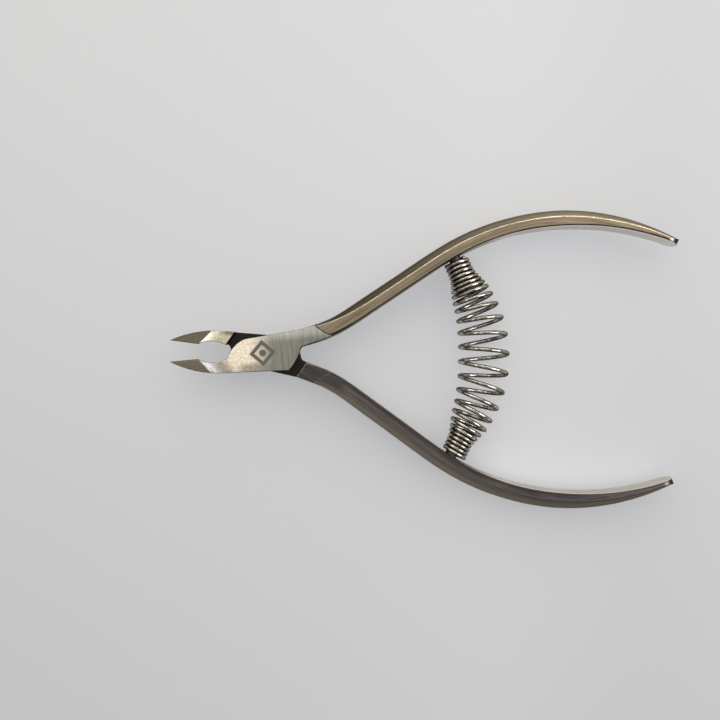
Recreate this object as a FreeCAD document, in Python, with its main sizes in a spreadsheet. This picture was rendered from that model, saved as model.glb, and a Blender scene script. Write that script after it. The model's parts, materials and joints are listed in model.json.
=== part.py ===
import FreeCAD, Part
import math
import os

# Cuticle nipper: two forged levers crossing in a lap joint on one rivet, and a barrel
# spring held between the handles on two pegs.
# Frame: the pivot axis is +Z, +X runs to the handles, -X to the jaws, and z = 0 is the
# ground back face of the joint. Each lever is drawn closed, about its own pivot, with
# z = 0 between the two laps, and is then turned to the rest opening.

V = FreeCAD.Vector

SIZES = {
    "joint_thickness": 6.4,
    "through_cut": 32.0,
    "lap_gap": 0.02,
    "half_opening": 6.3,
    "heel_distance": 14.7,
    "tip_distance": 21.35,
    "crease_angle": 37.7,
    "crease_height": 2.3,
    "tip_height": 0.4,
    "nose_length": 5.4,
    "bevel_relief": 25.0,
    "edge_gap": 0.03,
    "root_forward": 7.9,
    "root_outward": 2.5,
    "handle_width": 7.2,
    "handle_depth": 3.8,
    "tail_width": 6.2,
    "tail_depth": 1.4,
    "tail_start": 63.0,
    "narrowing_start": 30.0,
    "root_crown": 0.15,
    "crown_height": 1.7,
    "crown_run": 18.0,
    "ridge_radius": 0.5,
    "inner_corner": 0.35,
    "root_corner": 0.7,
    "root_corner_end": 6.0,
    "inner_corner_start": 14.0,
    "root_heading": 13.5,
    "root_length": 4.0,
    "root_bend_radius": 28.7,
    "rise_heading": 28.6,
    "rise_length": 22.8,
    "bow_radius": 53.6,
    "tail_heading": -30.8,
    "tongue_radius": 2.7,
    "rivet_radius": 1.6,
    "rivet_head_radius": 2.4,
    "countersink_depth": 0.8,
    "running_clearance": 0.03,
    "peg_radius": 1.3,
    "peg_length": 5.0,
    "peg_bite": 2.2,
    "peg_dome": 0.65,
    "peg_station": 38.2,
    "peg_tilt": 5.2,
    "wire_diameter": 0.9,
    "wire_end_gap": 0.12,
    "first_phase": -24.0,
    "closed_pitch": 0.96,
    "middle_pitch": 3.85,
    "loose_half_length": 16.8,
    "loose_offset": 0.8,
    "stack_length": 8.65,
    "lower_end_shift": 0.55,
    "end_coil_radius": 2.4,
    "shoulder_coil_radius": 4.15,
    "middle_coil_radius": 5.2,
}

doc = FreeCAD.newDocument("cuticle_nipper")
sheet = doc.addObject("Spreadsheet::Sheet", "Sizes")
for row, (alias, value) in enumerate(SIZES.items(), start=1):
    sheet.set(f"A{row}", alias)
    sheet.set(f"B{row}", str(value))
    sheet.setAlias(f"B{row}", alias)
doc.recompute()


def size(alias):
    return float(sheet.get(alias))


HALF_JOINT = size("joint_thickness") / 2


def direction(heading):
    angle = math.radians(heading)
    return V(math.cos(angle), math.sin(angle), 0)


def left_of(heading):
    return direction(heading + 90)


def smoothstep(value, start, end):
    share = min(max((value - start) / (end - start), 0.0), 1.0)
    return share * share * (3 - 2 * share)


# --- drawing helpers ---


def closed_path(start, *steps):
    """Lines and arcs from start and back to it: a step is an end, or a (via, end) pair.
    A last step that doesn't reach the start is joined to it with a line."""
    edges = []
    here = V(*start, 0)
    if steps[-1][-1] != start:
        steps += (start,)
    for step in steps:
        if isinstance(step[0], tuple):
            via, end = V(*step[0], 0), V(*step[1], 0)
            edges.append(Part.Arc(here, via, end))
        else:
            end = V(*step, 0)
            edges.append(Part.LineSegment(here, end))
        here = end
    return edges


def sketch_on(body, name, role, edges, base=V(0, 0, 0), turn=0.0):
    """A sketch on one of the body's origin planes, moved by base and turned about its Y."""
    sketch = body.newObject("Sketcher::SketchObject", name)
    plane = next(item for item in body.Origin.OriginFeatures if item.Role == role)
    sketch.AttachmentSupport = [(plane, "")]
    sketch.MapMode = "FlatFace"
    sketch.AttachmentOffset = FreeCAD.Placement(base, FreeCAD.Rotation(V(0, 1, 0), turn))
    sketch.addGeometry(edges, False)
    return sketch


def volume(body):
    doc.recompute()
    return body.Shape.Volume


def cut_away(body, feature, before):
    """Stops the build if a cut removed nothing."""
    removed = before - volume(body)
    if removed < 0.001:
        raise RuntimeError(f"{feature.Name} cuts nothing")


def pad(body, name, sketch, length):
    feature = body.newObject("PartDesign::Pad", name)
    feature.Profile = sketch
    feature.setExpression("Length", length)
    volume(body)
    return feature


def pocket(body, name, sketch, length, upwards=False):
    before = volume(body)
    feature = body.newObject("PartDesign::Pocket", name)
    feature.Profile = sketch
    feature.Reversed = upwards
    feature.setExpression("Length", length)
    cut_away(body, feature, before)
    return feature


# --- the handle: a loaf-shaped section carried along straight runs and arcs ---

# distances along the handle of the loft's sections; the last one is at the handle's end
STATIONS = [0, 4, 8, 11.5, 15, 20, 27, 34.4, 41, 48, 55, 63, 69, 75, 80, 85]
TAIL_POWER = 1.5
CROWN_ALLOWANCE = 1.15
THIN_RIDGE_SHARE = 0.22
THIN_CORNER_SHARE = 0.2


def handle_point(distance):
    """The handle's centre line in the closed lever: point and heading at a distance."""
    root, rise, tail = size("root_heading"), size("rise_heading"), size("tail_heading")
    bend, bow = size("root_bend_radius"), size("bow_radius")
    runs = [
        (size("root_length"), root, 0.0),
        (bend * math.radians(rise - root), root, 1 / bend),
        (size("rise_length"), rise, 0.0),
        (bow * math.radians(rise - tail), rise, -1 / bow),
    ]
    point = V(size("root_forward"), size("root_outward"), 0)
    for index, (length, heading, curvature) in enumerate(runs):
        step = distance if index == len(runs) - 1 else min(distance, length)
        turned = math.degrees(step * curvature)
        chord = step
        if curvature:
            chord = 2 / abs(curvature) * math.sin(abs(step * curvature) / 2)
        point = point + direction(heading + turned / 2) * chord
        distance -= step
        heading += turned
        if distance <= 0:
            break
    return point, heading


def handle_length():
    turns = math.radians(size("rise_heading") - size("root_heading"))
    bow = math.radians(size("rise_heading") - size("tail_heading"))
    runs = size("root_length") + size("rise_length")
    return runs + turns * size("root_bend_radius") + bow * size("bow_radius")


def taper(distance):
    start = size("tail_start")
    return min(max((distance - start) / (handle_length() - start), 0.0), 1.0)


def handle_depth(distance):
    change = size("tail_depth") - size("handle_depth")
    return size("handle_depth") + change * taper(distance) ** TAIL_POWER


def handle_width(distance):
    change = size("tail_width") - size("handle_width")
    share = smoothstep(distance, size("narrowing_start"), handle_length())
    return size("handle_width") + change * share


def loaf_section(half_width, depth, crown, ridge, corner):
    """Flat inside (-x), straight sides and a crowned outside (+x), with rounded corners."""
    half = depth / 2
    crown_radius = (half_width**2 + crown**2) / (2 * crown)
    crown_centre = half - crown_radius
    ridge_centre_y = half_width - ridge
    ridge_centre_x = crown_centre + math.sqrt((crown_radius - ridge) ** 2 - ridge_centre_y**2)
    reach = crown_radius / (crown_radius - ridge)
    crown_x = crown_centre + (ridge_centre_x - crown_centre) * reach
    crown_y = ridge_centre_y * reach
    lean = math.atan2(ridge_centre_x - crown_centre, ridge_centre_y) / 2
    ridge_x = ridge_centre_x + ridge * math.sin(lean)
    ridge_y = ridge_centre_y + ridge * math.cos(lean)
    cut = corner * (1 - math.sqrt(0.5))
    return closed_path(
        (-half, half_width - corner),
        (-half, corner - half_width),
        ((cut - half, cut - half_width), (corner - half, -half_width)),
        (ridge_centre_x, -half_width),
        ((ridge_x, -ridge_y), (crown_x, -crown_y)),
        ((half, 0), (crown_x, crown_y)),
        ((ridge_x, ridge_y), (ridge_centre_x, half_width)),
        (corner - half, half_width),
        ((cut - half, half_width - cut), (-half, half_width - corner)),
    )


def handle_section(distance):
    """The section is almost square at the root, full in the bow and flat at the tail."""
    depth = handle_depth(distance)
    fullness = min(1.0, CROWN_ALLOWANCE * depth / size("handle_depth"))
    full_crown = size("crown_height") * fullness
    root_crown = size("root_crown")
    crown = root_crown + (full_crown - root_crown) * smoothstep(distance, 0, size("crown_run"))
    ridge = min(size("ridge_radius"), depth * THIN_RIDGE_SHARE)
    corner = min(size("inner_corner"), depth * THIN_CORNER_SHARE)
    slimming = smoothstep(distance, size("root_corner_end"), size("inner_corner_start"))
    corner += (size("root_corner") - size("inner_corner")) * (1 - slimming)
    return loaf_section(handle_width(distance) / 2, depth, crown, ridge, corner)


def handle_loft(body):
    sketches = []
    for index, distance in enumerate(STATIONS + [handle_length()]):
        point, heading = handle_point(distance)
        base = V(point.y, 0, point.x)
        edges = handle_section(distance)
        sketches.append(sketch_on(body, f"Section{index:02d}", "YZ_Plane", edges, base, heading))
    loft = body.newObject("PartDesign::AdditiveLoft", "Handle")
    loft.Profile = sketches[0]
    loft.Sections = sketches[1:]
    volume(body)


def round_the_tail(body):
    """The handle ends in a tongue, rounded across its width."""
    point, heading = handle_point(handle_length())
    half, radius = size("tail_width") / 2, size("tongue_radius")
    via = radius * (1 - math.sqrt(0.5))
    edges = closed_path(
        (-radius, half + 1),
        (-radius, half),
        ((-via, half - via), (0, half - radius)),
        (0, radius - half),
        ((-via, via - half), (-radius, -half)),
        (-radius, -half - 1),
        (1, -half - 1),
        (1, half + 1),
    )
    # the sketch looks along the handle's depth: its x runs along the handle
    end = point - left_of(heading) * 3
    along, across = end.dot(direction(0)), end.dot(direction(90))
    base = V(along, 0, -across)
    sketch = sketch_on(body, "TongueOutline", "XZ_Plane", edges, base, heading)
    pocket(body, "Tongue", sketch, "Sizes.through_cut")


# --- the joint and the jaw ---


def lap_pad(body):
    outline = closed_path(
        (4.85, -4.24),
        ((6.55, -2.2), (7.45, -0.3)),
        ((7.85, 0.42), (8.9, 0.86)),
        (10.6, 1.6),
        (10.4, 4.4),
        (8.2, 4.46),
        (-4.0, 3.36),
        (-9.3, 3.0),
        (-9.3, -3.4),
        (-7.07, -3.66),
    )
    base = V(0, 0, size("lap_gap") / 2)
    sketch = sketch_on(body, "LapOutline", "XY_Plane", outline, base)
    pad(body, "Lap", sketch, "(Sizes.joint_thickness - Sizes.lap_gap) / 2")


def jaw_pad(body):
    outline = closed_path(
        (-7.07, -3.66),
        ((-10.4, -3.52), (-13.0, -3.17)),
        ((-16.8, -2.15), (-size("tip_distance"), 0)),
        (-size("tip_distance") - 0.5, 0.3),
        (-9.12, 0.3),
    )
    sketch = sketch_on(body, "JawOutline", "XY_Plane", outline, V(0, 0, -HALF_JOINT))
    pad(body, "Jaw", sketch, "Sizes.joint_thickness")


def shoulder_relief(body):
    """Room for the other lever's lap, up to the curved shoulder at the handle's root."""
    outline = closed_path(
        (9.4, 0.3),
        ((8.37, 2.59), (6.9, 5.0)),
        (4.0, 5.0),
        (4.0, 0.3),
    )
    base = V(0, 0, size("lap_gap") / 2)
    sketch = sketch_on(body, "ShoulderOutline", "XY_Plane", outline, base)
    pocket(body, "ShoulderRelief", sketch, "Sizes.joint_thickness")


def ground_flats(body):
    """The joint's two faces are ground flat as far as a crescent on the handle's root."""
    outline = closed_path(
        (4.0, 8.0),
        (4.0, -2.0),
        (16.3, -2.0),
        (16.3, 2.25),
        ((12.9, 3.55), (10.9, 5.75)),
        (10.9, 8.0),
    )
    front = sketch_on(body, "FrontFlatOutline", "XY_Plane", outline, V(0, 0, HALF_JOINT))
    pocket(body, "FrontFlat", front, "Sizes.through_cut", upwards=True)
    back = sketch_on(body, "BackFlatOutline", "XY_Plane", outline, V(0, 0, -HALF_JOINT))
    pocket(body, "BackFlat", back, "Sizes.through_cut")


def blade_facets(body):
    """The jaw's nose curves down to a slanted crease, and flat facets fall to the tip."""
    lean = math.cos(math.radians(size("crease_angle")))
    crease = -size("heel_distance") * lean
    tip = -size("tip_distance") * lean
    fall = (size("crease_height") - size("tip_height")) / (crease - tip)
    far = tip - 0.4
    nose_end = crease + size("nose_length")
    nose_drop = HALF_JOINT - size("crease_height")
    nose_radius = (size("nose_length") ** 2 + nose_drop**2) / (2 * nose_drop)
    middle = crease + size("nose_length") / 2
    middle_height = HALF_JOINT - nose_radius
    middle_height += math.sqrt(nose_radius**2 - (nose_end - middle) ** 2)
    edges = []
    for side in (1, -1):
        edges += closed_path(
            (far, side * (size("tip_height") - 0.4 * fall)),
            (crease, side * size("crease_height")),
            ((middle, side * middle_height), (nose_end, side * HALF_JOINT)),
            (nose_end, side * (HALF_JOINT + 1)),
            (far, side * (HALF_JOINT + 1)),
        )
    # the profile stands outside the jaw, moved along the crease, and cuts right through it
    turn = size("crease_angle")
    outwards = FreeCAD.Rotation(V(0, 1, 0), turn).multVec(V(0, 0, size("through_cut") / 2))
    sketch = sketch_on(body, "FacetProfile", "XZ_Plane", edges, outwards, turn)
    pocket(body, "Facets", sketch, "Sizes.through_cut")


def hollow_outline(level, edge_side):
    """The eye and the hollow-ground inner bevel, at one height on a ruled cutter."""
    heel, tip = size("heel_distance"), size("tip_distance")
    slope = (size("crease_height") - size("tip_height")) / (tip - heel)
    relief = math.tan(math.radians(size("bevel_relief")))
    far = tip + 1.5
    edge_height_far = size("crease_height") - slope * (far - heel)
    height = level * edge_side
    far_y = relief * (height - edge_height_far) - size("edge_gap") / 2
    heel_y = relief * (height - size("crease_height")) - size("edge_gap") / 2
    if height > 0:
        eye_middle, eye_end = (-11.4, -1.0), (-8.16, -0.36)
    else:
        eye_middle, eye_end = (-11.4, -1.95), (-8.3, -0.75)
    return closed_path(
        (-far, far_y),
        (-heel, heel_y),
        (eye_middle, eye_end),
        (-7.4, 0.9),
        ((-5.3, 2.87), (-2.1, 3.58)),
        (-2.1, 5.0),
        (-far, 5.0),
    )


def eye_and_bevel(body, edge_side):
    before = volume(body)
    reach = HALF_JOINT + 0.2
    sketches = []
    for name, level in (("HollowTop", reach), ("HollowBottom", -reach)):
        outline = hollow_outline(level, edge_side)
        sketches.append(sketch_on(body, name, "XY_Plane", outline, V(0, 0, level)))
    loft = body.newObject("PartDesign::SubtractiveLoft", "EyeAndBevel")
    loft.Profile = sketches[0]
    loft.Sections = sketches[1:]
    loft.Ruled = True
    cut_away(body, loft, before)


def rivet_seat(body, clearance):
    """A through hole with a countersink in the lap's outer face."""
    before = volume(body)
    shank, head = size("rivet_radius") + clearance, size("rivet_head_radius") + clearance
    sink = HALF_JOINT - size("countersink_depth")
    edges = closed_path(
        (0, -1),
        (shank, -1),
        (shank, sink),
        (head, HALF_JOINT),
        (head, HALF_JOINT + 1),
        (0, HALF_JOINT + 1),
    )
    sketch = sketch_on(body, "RivetSeatProfile", "XZ_Plane", edges)
    groove = body.newObject("PartDesign::Groove", "RivetSeat")
    groove.Profile = sketch
    groove.ReferenceAxis = (sketch, ["V_Axis"])
    groove.Angle = 360
    cut_away(body, groove, before)


def peg_seat():
    """In the closed lever: the peg's centre on the handle's inner face, and its heading."""
    distance = size("peg_station")
    point, heading = handle_point(distance)
    inner = point - left_of(heading) * (handle_depth(distance) / 2)
    return inner, heading - 90 - size("peg_tilt")


def peg_hole(body):
    inner, heading = peg_seat()
    circle = [Part.Circle(V(0, 0, 0), V(0, 0, 1), size("peg_radius"))]
    start = inner + direction(heading)
    base = V(start.y, 0, start.x)
    sketch = sketch_on(body, "PegHoleOutline", "YZ_Plane", circle, base, heading)
    pocket(body, "PegHole", sketch, "Sizes.peg_bite + 1")


def lever(name, edge_side, rivet_clearance):
    body = doc.addObject("PartDesign::Body", name)
    body.Label = name
    handle_loft(body)
    round_the_tail(body)
    shoulder_relief(body)
    lap_pad(body)
    jaw_pad(body)
    ground_flats(body)
    blade_facets(body)
    eye_and_bevel(body, edge_side)
    rivet_seat(body, rivet_clearance)
    peg_hole(body)
    return body


def opened(half_turn, flipped=False):
    """A lever's placement at rest; the back lever is the same forging turned over."""
    rotation = FreeCAD.Rotation(V(0, 0, 1), half_turn)
    if flipped:
        rotation = rotation.multiply(FreeCAD.Rotation(V(1, 0, 0), 180))
    return FreeCAD.Placement(V(0, 0, HALF_JOINT), rotation)


front_place = opened(size("half_opening"))
back_place = opened(-size("half_opening"), flipped=True)

front_lever = lever("front_lever", 1, 0.0)
front_lever.Placement = front_place
back_lever = lever("back_lever", -1, size("running_clearance"))
back_lever.Placement = back_place


# --- the rivet ---


def pivot_rivet():
    body = doc.addObject("PartDesign::Body", "pivot_rivet")
    body.Label = "pivot_rivet"
    shank, head = size("rivet_radius"), size("rivet_head_radius")
    sink = HALF_JOINT - size("countersink_depth")
    edges = closed_path(
        (0, -HALF_JOINT),
        (head, -HALF_JOINT),
        (shank, -sink),
        (shank, sink),
        (head, HALF_JOINT),
        (0, HALF_JOINT),
    )
    sketch = sketch_on(body, "RivetProfile", "XZ_Plane", edges)
    turned = body.newObject("PartDesign::Revolution", "Rivet")
    turned.Profile = sketch
    turned.ReferenceAxis = (sketch, ["V_Axis"])
    turned.Angle = 360
    body.Placement = FreeCAD.Placement(V(0, 0, HALF_JOINT), FreeCAD.Rotation())
    return body


rivet = pivot_rivet()


# --- the spring's pegs ---


def spring_peg(name, lever_place):
    """A plain round peg pressed into the handle, with a domed end inside the spring."""
    inner, heading = peg_seat()
    body = doc.addObject("PartDesign::Body", name)
    body.Label = name
    radius, bite, length = size("peg_radius"), size("peg_bite"), size("peg_length")
    dome = size("peg_dome")
    dome_radius = (radius**2 + dome**2) / (2 * dome)
    half_angle = math.asin(radius / dome_radius) / 2
    via_x = dome_radius * math.sin(half_angle)
    via_y = length - dome_radius * (1 - math.cos(half_angle))
    edges = closed_path(
        (0, -bite),
        (radius, -bite),
        (radius, length - dome),
        ((via_x, via_y), (0, length)),
    )
    sketch = sketch_on(body, "PegProfile", "XZ_Plane", edges)
    turned = body.newObject("PartDesign::Revolution", "Peg")
    turned.Profile = sketch
    turned.ReferenceAxis = (sketch, ["V_Axis"])
    turned.Angle = 360
    upright_to_heading = FreeCAD.Rotation(V(0, 0, 1), direction(heading))
    body.Placement = lever_place.multiply(FreeCAD.Placement(inner, upright_to_heading))
    return body


upper_peg = spring_peg("spring_peg_upper", front_place)
lower_peg = spring_peg("spring_peg_lower", back_place)


# --- the spring: round wire wound on a barrel, bowed between the two pegs ---


def spring_axis():
    """The upper peg's foot at rest, the axis' lean there, the arc's radius and the length."""
    inner, heading = peg_seat()
    foot = front_place.multVec(inner)
    lean = 90 + heading + size("half_opening")
    stack = size("stack_length")
    start = foot + direction(lean - 90) * stack
    radius = start.y / math.sin(math.radians(lean))
    length = 2 * (stack + radius * math.radians(lean))
    return foot, lean, radius, length


def axis_point(along):
    """Point on the bowed axis and its sideways direction, at a distance from the foot."""
    foot, lean, radius, length = spring_axis()
    from_end = min(along, length - along)
    mirrored = -1 if along > length / 2 else 1
    stack = size("stack_length")
    straight = min(from_end, stack)
    turned = max(from_end - stack, 0) / radius
    heading = lean - 90 - math.degrees(turned)
    chord = 2 * radius * math.sin(turned / 2)
    point = foot + direction(lean - 90) * straight
    point += direction(lean - 90 - math.degrees(turned) / 2) * chord
    side = left_of(heading)
    # the lower end coil sits off its peg's centre, as far as its play lets it
    shift = size("lower_end_shift") * max(2 * along / length - 1, 0)
    centre = V(point.x + shift, mirrored * point.y, HALF_JOINT)
    return centre, V(side.x, mirrored * side.y, 0)


def coil_pitch(along, length):
    middle = length / 2 + size("loose_offset")
    from_middle = (along - middle) / size("loose_half_length")
    extra = size("middle_pitch") - size("closed_pitch")
    return size("closed_pitch") + extra * max(0.0, 1 - from_middle**2)


def coil_radius(along, length):
    end, shoulder, middle = (
        size("end_coil_radius"),
        size("shoulder_coil_radius"),
        size("middle_coil_radius"),
    )
    from_end = min(along, length - along)
    swell = max(0.0, 1 - ((along - length / 2) / (length / 2 - 10)) ** 2)
    return end + (shoulder - end) * smoothstep(from_end, 3.0, 10.0) + (middle - shoulder) * swell


def spring_points(points_per_turn=10):
    length = spring_axis()[3]
    clear = size("wire_diameter") / 2 + size("wire_end_gap")
    along, phase, points = clear, math.radians(size("first_phase")), []
    while along < length - clear:
        centre, side = axis_point(along)
        radius = coil_radius(along, length)
        offset = side * (radius * math.cos(phase)) + V(0, 0, radius * math.sin(phase))
        points.append(centre + offset)
        along += coil_pitch(along, length) / points_per_turn
        phase -= 2 * math.pi / points_per_turn
    return points


def spring():
    curve = Part.BSplineCurve()
    curve.interpolate(spring_points())
    start = curve.value(curve.FirstParameter)
    tangent = curve.tangent(curve.FirstParameter)[0]
    circle = Part.Circle(start, tangent, size("wire_diameter") / 2)
    profile = Part.Wire([circle.toShape()])
    path = Part.Wire([curve.toShape()])
    feature = doc.addObject("Part::Feature", "spring")
    feature.Label = "spring"
    feature.Shape = path.makePipeShell([profile], True, True)
    swept = curve.length() * math.pi * (size("wire_diameter") / 2) ** 2
    if abs(feature.Shape.Volume / swept - 1) > 0.02:
        raise RuntimeError("the spring's volume doesn't match its wire")
    return feature


coil = spring()

# --- check everything, then write ---

doc.recompute()
for item in doc.Objects:
    if {"Invalid", "Error"} & set(item.State):
        raise RuntimeError(f"{item.Name} failed: {item.State}")

os.makedirs("parts", exist_ok=True)
for node in (front_lever, back_lever, rivet, upper_peg, lower_peg, coil):
    if node.Shape.isNull() or not node.Shape.isValid():
        raise RuntimeError(f"{node.Label} has no valid shape")
    node.Shape.exportStep(f"parts/{node.Label}.step")
    print(node.Label, round(node.Shape.Volume, 2), node.Shape.BoundBox)
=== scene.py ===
import json
import math

import bpy
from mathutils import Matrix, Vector


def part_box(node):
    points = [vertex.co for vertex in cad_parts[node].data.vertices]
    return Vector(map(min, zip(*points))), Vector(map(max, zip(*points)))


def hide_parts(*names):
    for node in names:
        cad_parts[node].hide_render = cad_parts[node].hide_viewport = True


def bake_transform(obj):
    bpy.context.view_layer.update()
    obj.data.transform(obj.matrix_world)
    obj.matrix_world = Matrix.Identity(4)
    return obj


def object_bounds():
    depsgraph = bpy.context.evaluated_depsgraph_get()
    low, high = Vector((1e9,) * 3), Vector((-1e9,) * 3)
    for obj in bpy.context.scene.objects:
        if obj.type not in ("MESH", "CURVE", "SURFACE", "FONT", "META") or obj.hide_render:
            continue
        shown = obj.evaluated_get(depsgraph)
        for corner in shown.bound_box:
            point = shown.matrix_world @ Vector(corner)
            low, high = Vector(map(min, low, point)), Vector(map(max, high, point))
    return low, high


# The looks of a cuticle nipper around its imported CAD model. Metres, in the row frame:
# +Z along the pivot towards the front face, +X towards the handles, -X towards the jaws.

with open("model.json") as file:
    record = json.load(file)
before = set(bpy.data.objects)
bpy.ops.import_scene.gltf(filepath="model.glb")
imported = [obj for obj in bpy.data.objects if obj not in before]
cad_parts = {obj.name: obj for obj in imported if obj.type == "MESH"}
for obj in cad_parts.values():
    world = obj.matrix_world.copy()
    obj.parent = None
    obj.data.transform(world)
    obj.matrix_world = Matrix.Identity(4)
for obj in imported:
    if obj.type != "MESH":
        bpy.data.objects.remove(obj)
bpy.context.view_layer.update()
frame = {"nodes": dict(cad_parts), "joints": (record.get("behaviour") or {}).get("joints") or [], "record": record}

MM = 0.001
MOUNTS = {mount["name"]: mount for mount in frame["record"]["mounts"]}
HALF_JOINT = MOUNTS["joint_front"]["pos_m"][2] / 2
HALF_OPENING = math.radians(frame["joints"][0]["range_deg"][1] / 2)


# --- node helpers: a small expression language over shader nodes ---


class Graph:
    """Adds nodes to one tree. A value is a number, a tuple or another node's socket."""

    def __init__(self, tree):
        self.tree = tree
        tree.nodes.clear()

    def node(self, kind, inputs=(), **settings):
        made = self.tree.nodes.new(kind)
        for name, value in settings.items():
            setattr(made, name, value)
        for key, value in dict(inputs).items():
            if isinstance(value, bpy.types.NodeSocket):
                self.tree.links.new(value, made.inputs[key])
            else:
                made.inputs[key].default_value = value
        return made

    def math(self, operation, first, second=0.0, third=0.0):
        inputs = {0: first, 1: second, 2: third}
        return self.node("ShaderNodeMath", inputs, operation=operation).outputs[0]

    def vector(self, operation, first, second):
        made = self.node("ShaderNodeVectorMath", {0: first, 1: second}, operation=operation)
        return made.outputs["Value" if operation == "DOT_PRODUCT" else "Vector"]

    def scaled(self, vector, factor):
        inputs = {0: vector, "Scale": factor}
        return self.node("ShaderNodeVectorMath", inputs, operation="SCALE").outputs[0]

    def ramp(self, value, start, end, low=0.0, high=1.0):
        """Goes smoothly from low at start to high at end, and is level outside them."""
        inputs = {"Value": value, "From Min": start, "From Max": end}
        inputs.update({"To Min": low, "To Max": high})
        made = self.node("ShaderNodeMapRange", inputs, interpolation_type="SMOOTHSTEP")
        return made.outputs["Result"]

    def mix(self, share, first, second):
        """A colour between first and second."""
        inputs = {"Factor": share, "A": first, "B": second}
        made = self.node("ShaderNodeMix", data_type="RGBA")
        for name, value in inputs.items():
            socket = next(s for s in made.inputs if s.name == name and s.enabled)
            if isinstance(value, bpy.types.NodeSocket):
                self.tree.links.new(value, socket)
            else:
                socket.default_value = (*value, 1) if name != "Factor" else value
        return next(s for s in made.outputs if s.enabled)

    def noise(self, where, stretch, detail, roughness):
        """Noise from 0 to 1 whose grain has the given frequencies along x, y and z."""
        scaled = self.vector("MULTIPLY", where, stretch)
        inputs = {"Vector": scaled, "Scale": 1.0, "Detail": detail, "Roughness": roughness}
        return self.node("ShaderNodeTexNoise", inputs).outputs["Fac"]

    def axes(self, vector):
        return self.node("ShaderNodeSeparateXYZ", {0: vector}).outputs[:]

    def any_of(self, first, second):
        return self.math("MAXIMUM", first, second)

    def both(self, first, second):
        return self.math("MULTIPLY", first, second)

    def length(self, x, y):
        return self.math("SQRT", self.math("ADD", self.both(x, x), self.both(y, y)))

    def between(self, share, first, second):
        """A number between first and second."""
        return self.math("MULTIPLY_ADD", share, self.math("SUBTRACT", second, first), first)


def new_material(name):
    material = bpy.data.materials.new(name)
    material.use_nodes = True
    return material, Graph(material.node_tree)


def finish_metal(graph, colour, roughness, height, depth, edge_tint, normal=None):
    """One Principled shader for metal: colour, roughness and relief come from nodes."""
    relief = graph.node("ShaderNodeBump", {"Height": height, "Distance": depth, "Strength": 1.0})
    if normal is not None:
        graph.tree.links.new(normal, relief.inputs["Normal"])
    principled = graph.node("ShaderNodeBsdfPrincipled", {
        "Base Color": colour,
        "Roughness": roughness,
        "Normal": relief.outputs["Normal"],
        "Metallic": 1.0,
        "Specular Tint": (*edge_tint, 1),
    })
    out = graph.node("ShaderNodeOutputMaterial")
    graph.tree.links.new(principled.outputs[0], out.inputs["Surface"])


def shade(colour, factor):
    return tuple(factor * part for part in colour)


# --- the levers' steel ---

# Places on a lever, in mm in its own closed position: x towards the handle, y outwards on
# the handle's side, z outwards from the lap plane.
HALF_JOINT_MM = HALF_JOINT / MM
# the crease where the blade's facets start crosses y = 0 at CREASE_X, and leans by FACET_ANGLE
CREASE_X, CREASE_BLUR = -14.7, 0.05
FACET_ANGLE = math.radians(37.7)
FACET_START = CREASE_X * math.cos(FACET_ANGLE)
# the handle's centre line rises straight as far as RISE_END, then bows
RISE_ANGLE = math.radians(28.6)
RISE_END = (38.84, 17.06)
BOW_RADIUS = 53.6
RIVET_HEAD = 2.4
OFF_RIVET = (RIVET_HEAD + 0.4, RIVET_HEAD + 0.6)
MARK_CENTRE_X = -0.5
MARK_OUTER, MARK_INNER, MARK_DOT = 2.9, 1.85, 0.72
MARK_BLUR, MARK_HEIGHT = 0.08, (3.0, 3.1)
SOFT_EDGE = 0.30 * MM

# Where each finish starts and where it is full. An x, a y or a height is in mm. Facing is the
# share of the normal along z, and outwards its share along y. A bend is the cosine between
# the rounded normal and the straight one.
FLATS_END_X = (16.2, 16.6)
LAP_END_X, BEHIND_LAP_Z = (4.6, 5.0), (0.0, -0.2)
CURVED_X, CURVED_FACING = (8.8, 10.6), (0.995, 0.97)
PROUD_X, PROUD_HEIGHT = (8.0, 9.0), (3.215, 3.26)
CROWN_OUTWARDS, CROWN_FACING = (0.25, 0.45), (0.86, 0.78)
RIDGE_OUTWARDS, RIDGE_FACING, RIDGE_OFF_FLAT = (0.05, 0.12), (0.70, 0.82), (0.997, 0.985)
# the ridge's painted highlight goes from its root share to full between these x
RIDGE_X = (17, 30)
INSIDE_OUTWARDS = (-0.72, -0.90)
# where painted shade darkens the handle's inner corner
CORNER_OUTWARDS, CORNER_FACING = (-0.12, -0.35), (0.20, 0.45)
# painted shadow near the joint, where the surface lies low in the lap's hollow
RECESS_X, RECESS_HEIGHT = (12.5, 11.5), (2.6, 2.2)
SHARP_BEND = (0.985, 0.86)
JAW_SIDE_X = (2.5, -4.5)
# painted light brightens the ruled joint face towards its +y rim, and painted shade darkens the jaw towards its -y
# rim
JOINT_RIM_Y, JOINT_RIM_LIGHT = (1.8, 4.0), 2.0
JAW_RIM_FADE, JAW_RIM_SHADE = 1.2, 0.45
# painted highlight: the bright strip along the blade's crease, and where it fades
NOSE_FADE, NOSE_DEPTH = 0.4, 0.2
# painted shade on the handle's sides towards their root
ROOT_X, PAST_ROOT_SHADE = (16.5, 19), 0.96
# painted shade along the handle's inner edge, fading outwards, so that the side looks rounded
INNER_SHADE_ACROSS = (-1.75, -0.9)
# painted shade on the crown, set by how far it faces up and by x along the handle
CROWN_FADE, CROWN_X = (0.1, 0.66), (22, 72)
# the inner face's pale colour is painted reflection; painted shade darkens it towards the root
INSIDE_X, INSIDE_ROOT_SHADE = (44, 56), 0.25
# the ridge's painted highlight changes to its bow factor between these x
BOW_X = (55, 66)
# painted shade on the rounded edges near the jaw; towards the handle's root the root_edge colour, painted shade on
# the front lever and a painted highlight on the back one
EDGE_X, EDGE_FADE = (5.0, 7.0), 0.5

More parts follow.
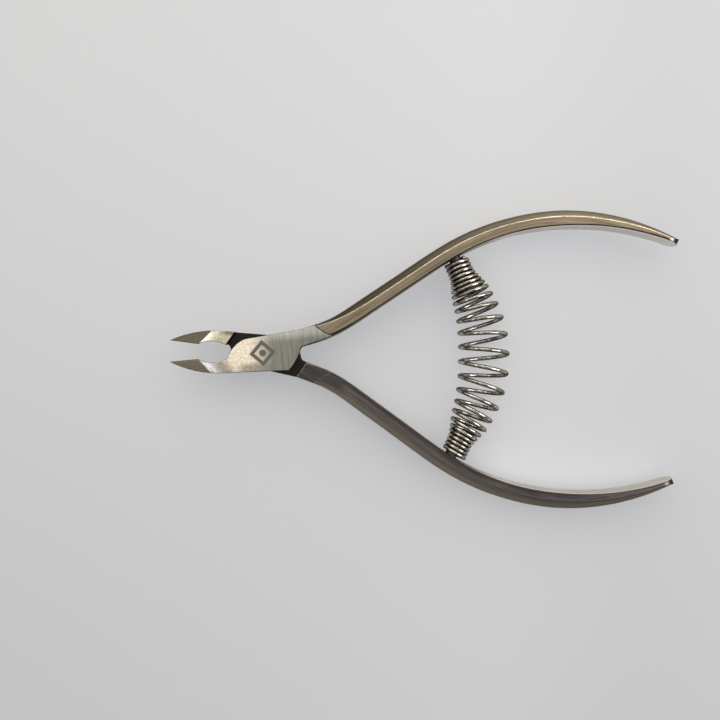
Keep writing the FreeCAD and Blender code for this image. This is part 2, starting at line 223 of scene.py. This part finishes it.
# The values of a noise that become 0 and 1.
GRAIN_CONTRAST = (0.32, 0.68)
MOTTLE_CONTRAST = (0.35, 0.68)
HUE_CONTRAST = (0.35, 0.65)
SMUDGE_CONTRAST = (0.4, 0.7)
PLAIN_CONTRAST = (0.3, 0.7)

# How far the dark and the light grain are from a finish's own colour.
RULED_SHADES = (0.75, 1.3)
SIDE_SHADES = (0.58, 1.42)
FACET_SHADES = (0.85, 1.2)
MOTTLE_SHADE = 0.74
CROWN_STREAKS, CROWN_STREAK_SHADE = 0.3, 1.2

JOINT_ROUGHNESS = (0.20, 0.30)
HANDLE_ROUGHNESS = (0.26, 0.38)
RIDGE_ROUGHNESS = 0.18
SMUDGE_ROUGHNESS = (-0.02, 0.05)
MARK_DULLNESS, RECESS_DULLNESS = 0.3, 0.25
LINE_RELIEF, MARK_RELIEF, MICROMETRE = 1.6, -12.0, 1e-6

# linear colours
JOINT_COOL = (0.225, 0.23, 0.205)
# painted highlight along the blade's crease
NOSE_HIGHLIGHT = (0.86, 0.85, 0.83)
# painted shade on rounded edges
EDGE_SHADE = (0.09, 0.082, 0.072)
# painted shade along the handle's inner corner
CORNER_SHADE = (0.055, 0.048, 0.042)
OLIVE = (0.96, 1.02, 0.95)
# painted shadow in the lap's hollow
RECESS_SHADOW = (0.030, 0.027, 0.024)
MARK_STEEL = (0.18, 0.165, 0.14)
EDGE_TINT = (0.55, 0.50, 0.44)

# What differs between the two forgings. Both are one steel: the differences in these tables
# # are painted reflection, painted highlight and painted shade. Places are in mm, colours are linear.
# #   jaw, jaw_rim_shade, rim_end: the ground jaw, whose bright tone is partly painted highlight,
# #       the y span over which painted shade darkens it towards its -y rim, and the x where
# #       that painted shade ends
# #   nose_length: how far the painted highlight strip reaches from the blade's crease
# #   root_edge, edge_end: the edge at the handle's root, painted dark as shade on the front
# #       lever and pale as a highlight on the back one, and how far that paint reaches
# #   side, root_side_shade, inner_edge_shade: the handle's sides, and the painted shade on them
# #       at the root and along the inner edge
# #   ridge, root_ridge_highlight, bow_ridge_highlight: the painted highlight on the line between
# #       side and crown, how much of it shows at the root, and the factor it is painted by on the bow
# #   crown_middle, crown_edge, crown_along: the crowned outer face, painted lighter and darker
# #       by how it faces, and its painted shade at both ends
# #   inside, facet: the handle's inner face, painted pale as a reflection, and the blade's
# #       facets, painted dark as shade
FRONT_LOOK = {
    "jaw": (1.0, 0.90, 0.74),
    "jaw_rim_shade": (-2.9, -1.3),
    "rim_end": -5.8,
    "nose_length": 2.7,
    "root_edge": (0.09, 0.085, 0.07),
    "edge_end": 16.0,
    "side": (0.31, 0.250, 0.185),
    "root_side_shade": 0.95,
    "inner_edge_shade": 1.0,
    "ridge": (0.42, 0.35, 0.26),
    "root_ridge_highlight": 0.2,
    "bow_ridge_highlight": 1.5,
    "crown_middle": (0.060, 0.050, 0.034),
    "crown_edge": (0.27, 0.230, 0.165),
    "crown_along": (0.50, 1.3),
    "inside": (1.0, 1.0, 1.0),
    "facet": (0.32, 0.265, 0.195),
}
BACK_LOOK = {
    "jaw": (0.68, 0.62, 0.50),
    "jaw_rim_shade": (-3.1, -2.6),
    "rim_end": -9.5,
    "nose_length": 1.08,
    "root_edge": (0.50, 0.43, 0.35),
    "edge_end": 10.8,
    "side": (0.145, 0.126, 0.124),
    "root_side_shade": 0.55,
    "inner_edge_shade": 0.30,
    "ridge": (0.32, 0.28, 0.245),
    "root_ridge_highlight": 1.0,
    "bow_ridge_highlight": 0.8,
    "crown_middle": (0.22, 0.20, 0.165),
    "crown_edge": (0.18, 0.155, 0.13),
    "crown_along": (1.3, 1.0),
    "inside": (1.0, 0.97, 0.92),
    "facet": (0.146, 0.126, 0.093),
}


def lever_place(graph, flipped):
    """Position and normal in the closed lever's own frame, in mm."""
    coordinates = graph.node("ShaderNodeTexCoord")
    turn = (math.pi if flipped else 0.0, 0.0, -HALF_OPENING)
    lap = HALF_JOINT_MM if flipped else -HALF_JOINT_MM
    place = graph.node("ShaderNodeMapping", {
        "Vector": coordinates.outputs["Object"],
        "Scale": (1 / MM, 1 / MM, 1 / MM),
        "Rotation": turn,
        "Location": (0, 0, lap),
    }).outputs[0]
    normal = graph.node("ShaderNodeMapping", {
        "Vector": coordinates.outputs["Normal"],
        "Rotation": turn,
    }, vector_type="NORMAL").outputs[0]
    return place, normal


def across_handle(graph, place):
    """Distance across the handle from its centre line: grain runs along what this keeps."""
    along = (math.cos(RISE_ANGLE), math.sin(RISE_ANGLE), 0)
    outwards = (-math.sin(RISE_ANGLE), math.cos(RISE_ANGLE), 0)
    from_end = graph.vector("SUBTRACT", place, (*RISE_END, 0))
    on_rise = graph.vector("DOT_PRODUCT", from_end, outwards)
    flat = graph.vector("MULTIPLY", from_end, (1, 1, 0))
    from_centre = graph.vector("ADD", flat, shade(outwards, BOW_RADIUS))
    length = graph.node("ShaderNodeVectorMath", {0: from_centre}, operation="LENGTH")
    on_bow = graph.math("SUBTRACT", length.outputs["Value"], BOW_RADIUS)
    past_rise = graph.ramp(graph.vector("DOT_PRODUCT", from_end, along), -0.01, 0.01)
    return graph.between(past_rise, on_rise, on_bow)


def lozenge_mark(graph, place, flipped):
    """A generic engraved lozenge round a small disc, on the front face over the pivot."""
    x, y, z = graph.axes(place)
    x = graph.math("SUBTRACT", x, MARK_CENTRE_X)
    spread = graph.math("ADD", graph.math("ABSOLUTE", x), graph.math("ABSOLUTE", y))
    inside = graph.ramp(spread, MARK_OUTER, MARK_OUTER - MARK_BLUR)
    ring = graph.both(inside, graph.ramp(spread, MARK_INNER - MARK_BLUR, MARK_INNER))
    dot = graph.ramp(graph.length(x, y), MARK_DOT + MARK_BLUR / 2, MARK_DOT - MARK_BLUR / 2)
    front = graph.ramp(graph.math("MULTIPLY", z, -1 if flipped else 1), *MARK_HEIGHT)
    return graph.both(graph.any_of(ring, dot), front)


class LeverSteel:
    """Forged stainless steel: ground joint faces, satin handles and painted shadow in the lap's
    hollow; much of the colour on its faces is painted reflection, highlight and shade.
    """

    def __init__(self, name, flipped, look):
        self.material, self.graph = new_material(name)
        self.look = look
        self.place, self.normal = lever_place(self.graph, flipped)
        self.x, self.y, self.z = self.graph.axes(self.place)
        self.make_masks(flipped)
        self.make_grain()
        self.finish()

    def make_masks(self, flipped):
        """Where each finish is, from 0 to 1."""
        graph, x = self.graph, self.x
        _, outwards, normal_z = graph.axes(self.normal)
        self.height = graph.math("ABSOLUTE", self.z)
        self.facing = graph.math("ABSOLUTE", normal_z)
        past_flats = graph.ramp(x, *FLATS_END_X)
        behind_lap = graph.both(graph.ramp(x, *LAP_END_X), graph.ramp(self.z, *BEHIND_LAP_Z))
        off_flats = graph.both(
            graph.ramp(x, *CURVED_X), graph.ramp(self.facing, *CURVED_FACING))
        proud = graph.both(graph.ramp(x, *PROUD_X), graph.ramp(self.height, *PROUD_HEIGHT))
        self.handle = graph.any_of(
            graph.any_of(past_flats, behind_lap), graph.any_of(off_flats, proud))
        self.crown = graph.both(
            graph.ramp(outwards, *CROWN_OUTWARDS), graph.ramp(self.facing, *CROWN_FACING))
        ridge = graph.both(
            graph.ramp(self.facing, *RIDGE_FACING), graph.ramp(self.facing, *RIDGE_OFF_FLAT))
        ridge = graph.both(ridge, graph.ramp(outwards, *RIDGE_OUTWARDS))
        ridge_highlight_fade = graph.ramp(x, *RIDGE_X, self.look["root_ridge_highlight"], 1.0)
        self.ridge = graph.both(ridge, ridge_highlight_fade)
        self.inside = graph.ramp(outwards, *INSIDE_OUTWARDS)
        self.corner = graph.both(
            graph.ramp(outwards, *CORNER_OUTWARDS), graph.ramp(self.facing, *CORNER_FACING))
        past_crease = (math.cos(FACET_ANGLE), math.sin(FACET_ANGLE), 0)
        self.blade = graph.vector("DOT_PRODUCT", self.place, past_crease)
        self.facet = graph.ramp(
            self.blade, FACET_START + CREASE_BLUR, FACET_START - CREASE_BLUR)
        near_joint = graph.ramp(graph.math("ABSOLUTE", x), *RECESS_X)
        self.recess_shadow = graph.both(near_joint, graph.ramp(self.height, *RECESS_HEIGHT))
        self.mark = lozenge_mark(graph, self.place, flipped)
        self.soften_edges()

    def soften_edges(self):
        """A rounded normal, and where it shows: not on the flush rim of the rivet's head."""
        graph = self.graph
        rounded = graph.node("ShaderNodeBevel", {"Radius": SOFT_EDGE}, samples=8)
        rounded = rounded.outputs["Normal"]
        straight = graph.node("ShaderNodeNewGeometry").outputs["Normal"]
        from_pivot = graph.length(self.x, self.y)
        off_rivet = graph.ramp(from_pivot, *OFF_RIVET)
        bend = graph.vector("DOT_PRODUCT", rounded, straight)
        # the edge mask places painted shade and painted highlight on rounded edges
        self.edge = graph.both(graph.ramp(bend, *SHARP_BEND), off_rivet)
        change = graph.scaled(graph.vector("SUBTRACT", rounded, straight), off_rivet)
        self.rounded = graph.vector("ADD", straight, change)

    def make_grain(self):
        """Grinding lines across the joint, brushing along the handles, and stains."""
        graph = self.graph
        self.across = across_handle(graph, self.place)
        along = graph.node("ShaderNodeCombineXYZ", {0: self.x, 1: self.across, 2: self.z})
        along = along.outputs[0]
        self.hairs = graph.noise(along, (0.25, 11, 11), 3.0, 0.6)
        streaks = graph.noise(along, (0.07, 3.8, 3.8), 3.0, 0.65)
        self.handle_grain = graph.between(0.6, self.hairs, streaks)
        self.lines = graph.noise(self.place, (9, 0.25, 9), 3.0, 0.6)
        bands = graph.noise(self.place, (1.8, 0.12, 1.8), 2.0, 0.5)
        self.joint_grain = graph.between(0.45, self.lines, bands)
        self.hue = graph.noise(along, (0.10, 1.7, 1.7), 2.0, 0.5)
        self.mottle = graph.noise(self.place, (1.6, 1.6, 1.6), 4.0, 0.66)
        self.smudge = graph.noise(self.place, (0.13, 0.13, 0.13), 3.0, 0.55)

    def joint_colour(self):
        """Bright and mottled next to the jaw, darker and finely ruled next to the handle. The jaw's
        bright tone is partly painted highlight; painted light brightens the ruled face towards
        its +y rim, painted shade darkens the jaw towards its -y rim, and a painted highlight
        strip runs along the blade's crease.
        """
        graph, look = self.graph, self.look
        ruled = graph.mix(graph.ramp(self.joint_grain, *GRAIN_CONTRAST),
                          *(shade(JOINT_COOL, factor) for factor in RULED_SHADES))
        # painted light towards the ruled face's +y rim
        ruled = graph.scaled(ruled, graph.ramp(self.y, *JOINT_RIM_Y, 1.0, JOINT_RIM_LIGHT))
        mottled = graph.mix(graph.ramp(self.mottle, *MOTTLE_CONTRAST),
                            shade(look["jaw"], MOTTLE_SHADE), look["jaw"])
        # painted shade on the jaw towards its -y rim
        rim = graph.ramp(self.x, look["rim_end"] - JAW_RIM_FADE, look["rim_end"] + JAW_RIM_FADE,
                         1.0, JAW_RIM_SHADE)
        off_rim = graph.ramp(self.y, *look["jaw_rim_shade"])
        mottled = graph.scaled(mottled, graph.between(off_rim, rim, 1.0))
        colour = graph.mix(graph.ramp(self.x, *JAW_SIDE_X), ruled, mottled)
        # painted highlight: a near-white strip along the blade's crease
        near_crease = graph.ramp(
            self.blade, FACET_START + look["nose_length"], FACET_START + NOSE_FADE)
        below_face = graph.ramp(self.height, HALF_JOINT_MM, HALF_JOINT_MM - NOSE_DEPTH)
        return graph.mix(graph.both(near_crease, below_face), colour, NOSE_HIGHLIGHT)

    def handle_colour(self):
        """Streaked sides, a painted highlight on the ridge, painted shade on a crown that is darkest
        in its middle, painted shade in the inner corner and a painted reflection that makes the
        inner face pale. Each is painted lighter and darker along the handle as its look says."""
        graph, look = self.graph, self.look
        grain = graph.ramp(self.handle_grain, *GRAIN_CONTRAST)
        side = graph.mix(grain, *(shade(look["side"], factor) for factor in SIDE_SHADES))
        hue = graph.mix(graph.ramp(self.hue, *HUE_CONTRAST), (1.0, 1.0, 1.0), OLIVE)
        # painted shade on the sides at the root
        root_shade = graph.ramp(self.x, *ROOT_X, look["root_side_shade"], PAST_ROOT_SHADE)
        side = graph.scaled(graph.vector("MULTIPLY", side, hue), root_shade)
        # painted shade along the inner edge
        inner_shade = graph.ramp(self.across, *INNER_SHADE_ACROSS, look["inner_edge_shade"], 1.0)
        side = graph.scaled(side, inner_shade)
        # the crown's colour is painted shade, by its facing and along the handle
        crown = graph.mix(
            graph.ramp(self.facing, *CROWN_FADE), look["crown_middle"], look["crown_edge"])
        streak = shade(look["crown_edge"], CROWN_STREAK_SHADE)
        crown = graph.mix(graph.both(grain, CROWN_STREAKS), crown, streak)
        crown = graph.scaled(crown, graph.ramp(self.x, *CROWN_X, *look["crown_along"]))
        inside = graph.mix(graph.ramp(self.x, *INSIDE_X),
                           shade(look["inside"], INSIDE_ROOT_SHADE), look["inside"])
        # the ridge's colour is a painted highlight
        ridge = graph.scaled(look["ridge"], graph.ramp(self.x, *BOW_X, 1.0, look["bow_ridge_highlight"]))
        colour = graph.mix(self.crown, side, crown)
        colour = graph.mix(self.ridge, colour, ridge)
        # painted shade in the inner corner
        colour = graph.mix(self.corner, colour, CORNER_SHADE)
        return graph.mix(self.inside, colour, inside)

    def colour(self):
        graph, look = self.graph, self.look
        # the blade's facets are painted dark as shade, with random mottle
        facet = graph.mix(
            self.mottle, *(shade(look["facet"], factor) for factor in FACET_SHADES))
        colour = graph.mix(self.facet, self.joint_colour(), facet)
        colour = graph.mix(self.handle, colour, self.handle_colour())
        # painted shade and painted highlight on the rounded edges
        edge = graph.mix(graph.ramp(self.x, *EDGE_X), EDGE_SHADE, look["root_edge"])
        near_joint = graph.ramp(self.x, look["edge_end"], look["edge_end"] - EDGE_FADE)
        colour = graph.mix(graph.both(self.edge, near_joint), colour, edge)
        # painted shadow in the lap's hollow
        colour = graph.mix(self.recess_shadow, colour, RECESS_SHADOW)
        return graph.mix(self.mark, colour, MARK_STEEL)

    def roughness(self):
        graph = self.graph
        joint = graph.ramp(self.joint_grain, *PLAIN_CONTRAST, *JOINT_ROUGHNESS)
        handle = graph.ramp(self.handle_grain, *PLAIN_CONTRAST, *HANDLE_ROUGHNESS)
        roughness = graph.between(self.handle, joint, handle)
        on_ridge = graph.both(self.ridge, self.handle)
        roughness = graph.between(on_ridge, roughness, RIDGE_ROUGHNESS)
        smudged = graph.ramp(self.smudge, *SMUDGE_CONTRAST, *SMUDGE_ROUGHNESS)
        roughness = graph.math("ADD", roughness, smudged)
        dulled = graph.math("ADD", graph.both(self.mark, MARK_DULLNESS),
                            graph.both(self.recess_shadow, RECESS_DULLNESS))
        return graph.math("ADD", roughness, dulled)

    def finish(self):
        """The relief is in micrometres: grinding lines, and the engraved mark."""
        graph = self.graph
        lines = graph.both(graph.between(self.handle, self.lines, self.hairs), LINE_RELIEF)
        relief = graph.math("MULTIPLY_ADD", self.mark, MARK_RELIEF, lines)
        finish_metal(graph, self.colour(), self.roughness(), relief, MICROMETRE, EDGE_TINT,
                     self.rounded)


# --- the spring's wire and the pegs ---

NICKEL_DULL, NICKEL_BRIGHT = (0.27, 0.245, 0.205), (0.62, 0.58, 0.51)
NICKEL_TINT = (0.32, 0.30, 0.27)
NICKEL_ROUGHNESS = (0.08, 0.15)
# painted shade: the wire darkens sideways, where one turn faces the next
FLANK_START_END, FLANK_SHADE = (0.35, 0.90), 0.20
# painted shade: the pegs are painted dark, as in shade inside the spring's ends
PEG_DARK, PEG_LIGHT = (0.06, 0.055, 0.05), (0.11, 0.10, 0.09)
PEG_ROUGHNESS = (0.28, 0.42)


def place_in_mm(graph):
    coordinates = graph.node("ShaderNodeTexCoord").outputs["Object"]
    return graph.vector("MULTIPLY", coordinates, (1 / MM,) * 3)


def nickel_wire():
    """Plated wire, drawn lengthwise, dull in places, with painted shade darkening it towards
    its flanks, where one turn faces the next.
    """
    material, graph = new_material("nickel_wire")
    place = place_in_mm(graph)
    along = graph.node("ShaderNodeAttribute", attribute_name="wire_place").outputs["Vector"]
    drawn = graph.noise(along, (0.25, 7, 7), 3.0, 0.6)
    tarnish = graph.noise(place, (0.5, 0.5, 0.5), 3.0, 0.6)
    colour = graph.mix(graph.ramp(tarnish, *PLAIN_CONTRAST), NICKEL_DULL, NICKEL_BRIGHT)
    beside = graph.math("ABSOLUTE", graph.axes(along)[2])
    colour = graph.scaled(colour, graph.ramp(beside, *FLANK_START_END, 1.0, FLANK_SHADE))
    roughness = graph.ramp(drawn, *PLAIN_CONTRAST, *NICKEL_ROUGHNESS)
    finish_metal(graph, colour, roughness, drawn, 1.2 * MICROMETRE, NICKEL_TINT)
    return material


def ground_steel():
    """The pegs: dark steel with the rings that turning leaves; the darkness is painted shade
    inside the spring's ends.
    """
    material, graph = new_material("ground_steel")
    turned = graph.noise(place_in_mm(graph), (0.6, 8, 0.6), 3.0, 0.6)
    colour = graph.mix(turned, PEG_DARK, PEG_LIGHT)
    roughness = graph.ramp(turned, *PLAIN_CONTRAST, *PEG_ROUGHNESS)
    finish_metal(graph, colour, roughness, turned, 1.5 * MICROMETRE, EDGE_TINT)
    return material


# --- the spring: round wire wound on a barrel, bowed between the two pegs ---

WIRE_RADIUS = 0.45 * MM
WIRE_END_GAP = 0.12 * MM
CUT_END_SHARE = 0.82
# the lower end goes this much nearer to its handle than the upper one
LOWER_REACH = 0.3 * MM
PEG_RADIUS = 1.3 * MM
PEG_BITE = 2.2 * MM
LEAN = math.radians(25.6)
# the axis is straight for this length from each peg, where the coils are wound close
STACK = 8.65 * MM
CLOSED_PITCH = 0.96 * MM
MIDDLE_PITCH = 3.85 * MM
# the open turns: half the length that they take, and how far below the middle they are widest
LOOSE_HALF = 16.8 * MM
LOOSE_OFFSET = 0.8 * MM
# how far the lower end is shifted along x
LOWER_SHIFT = 0.55 * MM
END_RADIUS = 2.4 * MM
SHOULDER_RADIUS = 4.15 * MM
MIDDLE_RADIUS = 5.2 * MM
SHOULDER_START = 3.0 * MM
SHOULDER_END = 10.0 * MM
FIRST_PHASE = math.radians(-24)
STEPS_PER_TURN = 60
SIDES = 16


def smoothstep(value, start, end):
    share = min(max((value - start) / (end - start), 0.0), 1.0)
    return share * share * (3 - 2 * share)


def heading_vector(angle):
    return Vector((math.cos(angle), math.sin(angle), 0))


class SpringAxis:
    """Straight from each peg, then one arc, the same above and below y = 0."""

    def __init__(self):
        low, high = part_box("spring_peg_upper")
        self.start = LEAN - math.pi / 2
        base_x = low.x + PEG_RADIUS * math.cos(LEAN)
        base_y = high.y - PEG_RADIUS * math.sin(LEAN)
        self.foot = Vector((base_x, base_y, HALF_JOINT)) + heading_vector(self.start) * PEG_BITE
        bend_start = self.foot + heading_vector(self.start) * STACK
        self.radius = bend_start.y / math.sin(LEAN)
        self.length = 2 * (STACK + self.radius * LEAN)

    def at(self, along):
        """The axis' point and its sideways direction at a distance from the upper foot."""
        from_end = min(along, self.length - along)
        turned = max(from_end - STACK, 0) / self.radius
        chord = 2 * self.radius * math.sin(turned / 2)
        point = self.foot + heading_vector(self.start) * min(from_end, STACK)
        point += heading_vector(self.start - turned / 2) * chord
        side = heading_vector(self.start - turned + math.pi / 2)
        if along > self.length / 2:
            point.y = -point.y
            side.y = -side.y
        point.x += LOWER_SHIFT * max(2 * along / self.length - 1, 0)
        return point, side

    def coil_radius(self, along):
        from_end = min(along, self.length - along)
        half = self.length / 2
        swell = max(0.0, 1 - ((along - half) / (half - SHOULDER_END)) ** 2)
        widened = smoothstep(from_end, SHOULDER_START, SHOULDER_END)
        radius = END_RADIUS + (SHOULDER_RADIUS - END_RADIUS) * widened
        return radius + (MIDDLE_RADIUS - SHOULDER_RADIUS) * swell

    def pitch(self, along):
        from_middle = along - self.length / 2 - LOOSE_OFFSET
        share = max(0.0, 1 - (from_middle / LOOSE_HALF) ** 2)
        return CLOSED_PITCH + (MIDDLE_PITCH - CLOSED_PITCH) * share


def wire_centre_line(axis):
    """Points along the wire, each with the coil's outward direction there."""
    clear = WIRE_RADIUS + WIRE_END_GAP
    along, phase, line = clear, FIRST_PHASE, []
    while along < axis.length - clear + LOWER_REACH:
        centre, side = axis.at(along)
        outwards = side * math.cos(phase) + Vector((0, 0, math.sin(phase)))
        line.append((centre + outwards * axis.coil_radius(along), outwards))
        along += axis.pitch(along) / STEPS_PER_TURN
        phase -= 2 * math.pi / STEPS_PER_TURN
    return line


def wire_mesh(name, line):
    """A round tube along the line, with slightly rounded cut ends. wire_place says how far
    along the wire each vertex is, in mm, and where round it: outwards, and sideways."""
    vertices, faces, places = [], [], []
    travelled = 0.0
    last = len(line) - 1
    for index, (point, outwards) in enumerate(line):
        before, after = line[max(index - 1, 0)][0], line[min(index + 1, last)][0]
        tangent = (after - before).normalized()
        across = outwards - tangent * outwards.dot(tangent)
        across.normalize()
        other = tangent.cross(across)
        travelled += (point - before).length
        radius = WIRE_RADIUS * (CUT_END_SHARE if index in (0, last) else 1.0)
        for side in range(SIDES):
            angle = 2 * math.pi * side / SIDES
            spoke = across * math.cos(angle) + other * math.sin(angle)
            vertices.append(point + spoke * radius)
            places.append((travelled / MM, math.cos(angle), math.sin(angle)))
    for ring in range(last):
        for side in range(SIDES):
            here, there = ring * SIDES, (ring + 1) * SIDES
            beside = (side + 1) % SIDES
            faces.append((here + side, here + beside, there + beside, there + side))
    faces.append(tuple(reversed(range(SIDES))))
    faces.append(tuple(range(last * SIDES, (last + 1) * SIDES)))
    mesh = bpy.data.meshes.new(name)
    mesh.from_pydata(vertices, [], faces)
    mesh.polygons.foreach_set("use_smooth", [len(f) == 4 for f in faces])
    layer = mesh.attributes.new("wire_place", "FLOAT_VECTOR", "POINT")
    layer.data.foreach_set("vector", [number for place in places for number in place])
    mesh.validate()
    return mesh


def spring_wire():
    axis = SpringAxis()
    mesh = wire_mesh("spring_wire", wire_centre_line(axis))
    wire = bpy.data.objects.new("spring_wire", mesh)
    bpy.context.scene.collection.objects.link(wire)
    mesh.materials.append(nickel_wire())
    upper, lower = axis.at(STACK)[0], axis.at(axis.length - STACK)[0]
    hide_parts("spring")
    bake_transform(wire)


# --- dress the CAD nodes ---


def dress(node, material):
    target = frame["nodes"][node]
    target.data.materials.clear()
    target.data.materials.append(material)


dress("front_lever", LeverSteel("front_lever_steel", False, FRONT_LOOK).material)
dress("back_lever", LeverSteel("back_lever_steel", True, BACK_LOOK).material)
dress("pivot_rivet", frame["nodes"]["front_lever"].data.materials[0])
peg_steel = ground_steel()
dress("spring_peg_upper", peg_steel)
dress("spring_peg_lower", peg_steel)
spring_wire()


# --- the studio: a pale floor, soft lights and a dim room above ---

low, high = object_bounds()
centre = (low + high) / 2
FLOOR_SIDE = 6.0
# painted light on the floor: lit warmer towards +Y, shaded cooler towards -Y, and painted shade towards +X
FLOOR_SHADED_COOL = (0.59, 0.603, 0.63)
FLOOR_LIT_WARM = (0.693, 0.704, 0.718)
FLOOR_LIT_Y = (-0.12, 0.12)
FLOOR_SHADE_X, FLOOR_DIM_SHADE = (0.01, 0.06), 0.92
FLOOR_CLOUD = 0.01

# the room's colours, and over which shares of a direction they change
CEILING_DIM, CEILING_WARM, CEILING_Y = (0.24, 0.235, 0.235), (0.80, 0.74, 0.66), (-0.22, 0.22)
WALL_DIM, WALL_PALE, WALL_Y = (0.25, 0.25, 0.25), (0.62, 0.62, 0.62), (-0.30, 0.30)
CORNER_DIM, CORNER_X, CORNER_Y = (0.20, 0.19, 0.17), (-0.15, -0.55), (0.20, 0.50)
WALL_TOP_Z = (0.45, 0.05)

# name, azimuth, elevation, sides in metres, watts, colour; azimuth 0 is +X and 90 is +Y
LIGHT_DISTANCE = 0.60
LIGHTS = (
    ("window", 180, 50, (0.50, 0.10), 0.26, (0.96, 0.98, 1.0)),
    ("softbox", 180, 79, (0.50, 0.16), 0.15, (1.0, 0.98, 0.95)),
    ("side_window", 0, 40, (0.34, 0.42), 2.0, (0.97, 0.98, 1.0)),
    ("strip", 90, 40, (0.90, 0.05), 1.0, (0.97, 0.98, 1.0)),
)


def floor():
    """A matte floor with painted light: paler and warmer towards +Y, cooler and darker towards
    -Y, and painted shade dimming it towards the handles, on the +X side.
    """
    mesh = bpy.data.meshes.new("floor")
    half = FLOOR_SIDE / 2
    corners = [(-half, -half, 0), (half, -half, 0), (half, half, 0), (-half, half, 0)]
    mesh.from_pydata(corners, [], [(0, 1, 2, 3)])
    plane = bpy.data.objects.new("floor", mesh)
    bpy.context.scene.collection.objects.link(plane)
    plane.location = (centre.x, centre.y, low.z)
    material, graph = new_material("pale_floor")
    where = graph.node("ShaderNodeTexCoord").outputs["Object"]
    x, y, _ = graph.axes(where)
    cloud = graph.noise(where, (9, 9, 9), 2.0, 0.5)
    light = graph.math("ADD", graph.ramp(cloud, 0.2, 0.8, -FLOOR_CLOUD, FLOOR_CLOUD),
                       graph.ramp(y, *FLOOR_LIT_Y))
    colour = graph.mix(light, FLOOR_SHADED_COOL, FLOOR_LIT_WARM)
    colour = graph.scaled(colour, graph.ramp(x, *FLOOR_SHADE_X, 1.0, FLOOR_DIM_SHADE))
    matte = graph.node("ShaderNodeBsdfPrincipled", {
        "Base Color": colour,
        "Roughness": 0.9,
        "Specular IOR Level": 0.0,
    })
    out = graph.node("ShaderNodeOutputMaterial")
    graph.tree.links.new(matte.outputs[0], out.inputs["Surface"])
    mesh.materials.append(material)


def soft_light(name, azimuth, elevation, sides, power, colour):
    """An area light that looks at the object from a direction and casts no shadow."""
    data = bpy.data.lights.new(name, "AREA")
    data.shape = "RECTANGLE"
    data.size, data.size_y = sides
    data.energy = power
    data.color = colour
    data.use_shadow = False
    light = bpy.data.objects.new(name, data)
    bpy.context.scene.collection.objects.link(light)
    turn, rise = math.radians(azimuth), math.radians(elevation)
    level = heading_vector(turn) * math.cos(rise)
    away = level + Vector((0, 0, math.sin(rise)))
    light.location = centre + away * LIGHT_DISTANCE
    light.rotation_euler = away.to_track_quat("Z", "Y").to_euler()
    light.visible_camera = False


def room():
    """A warm room that is brighter on the +Y side, with one dim corner towards -X and +Y."""
    world = bpy.data.worlds.new("room")
    world.use_nodes = True
    bpy.context.scene.world = world
    graph = Graph(world.node_tree)
    towards = graph.node("ShaderNodeTexCoord").outputs["Generated"]
    x, y, z = graph.axes(towards)
    ceiling = graph.mix(graph.ramp(y, *CEILING_Y), CEILING_DIM, CEILING_WARM)
    wall = graph.mix(graph.ramp(y, *WALL_Y), WALL_DIM, WALL_PALE)
    in_corner = graph.both(graph.ramp(x, *CORNER_X), graph.ramp(y, *CORNER_Y))
    wall = graph.mix(in_corner, wall, CORNER_DIM)
    colour = graph.mix(graph.ramp(z, *WALL_TOP_Z), ceiling, wall)
    background = graph.node("ShaderNodeBackground", {"Color": colour, "Strength": 1.0})
    out = graph.node("ShaderNodeOutputWorld")
    graph.tree.links.new(background.outputs[0], out.inputs["Surface"])


floor()
room()
for light_settings in LIGHTS:
    soft_light(*light_settings)


# --- the camera looks straight down on the tool ---

CAMERA_DISTANCE = 0.195
VIEW_WIDTH = 0.1558
CAMERA_OFFSET = Vector((-0.01375, -0.0011, 0))
CAMERA_TURN = math.radians(1.2)
SENSOR_MM = 36


def camera():
    """VIEW_WIDTH is how much of the joint's front face's plane the picture takes in."""
    data = bpy.data.cameras.new("camera")
    data.sensor_width = SENSOR_MM
    data.lens = SENSOR_MM * CAMERA_DISTANCE / VIEW_WIDTH
    data.clip_start, data.clip_end = 0.01, 20
    made = bpy.data.objects.new("camera", data)
    bpy.context.scene.collection.objects.link(made)
    face = 2 * HALF_JOINT
    made.location = Vector((centre.x, 0, face + CAMERA_DISTANCE)) + CAMERA_OFFSET
    made.rotation_euler = (0, 0, CAMERA_TURN)
    bpy.context.scene.camera = made


camera()
bpy.context.scene.view_settings.view_transform = "Standard"
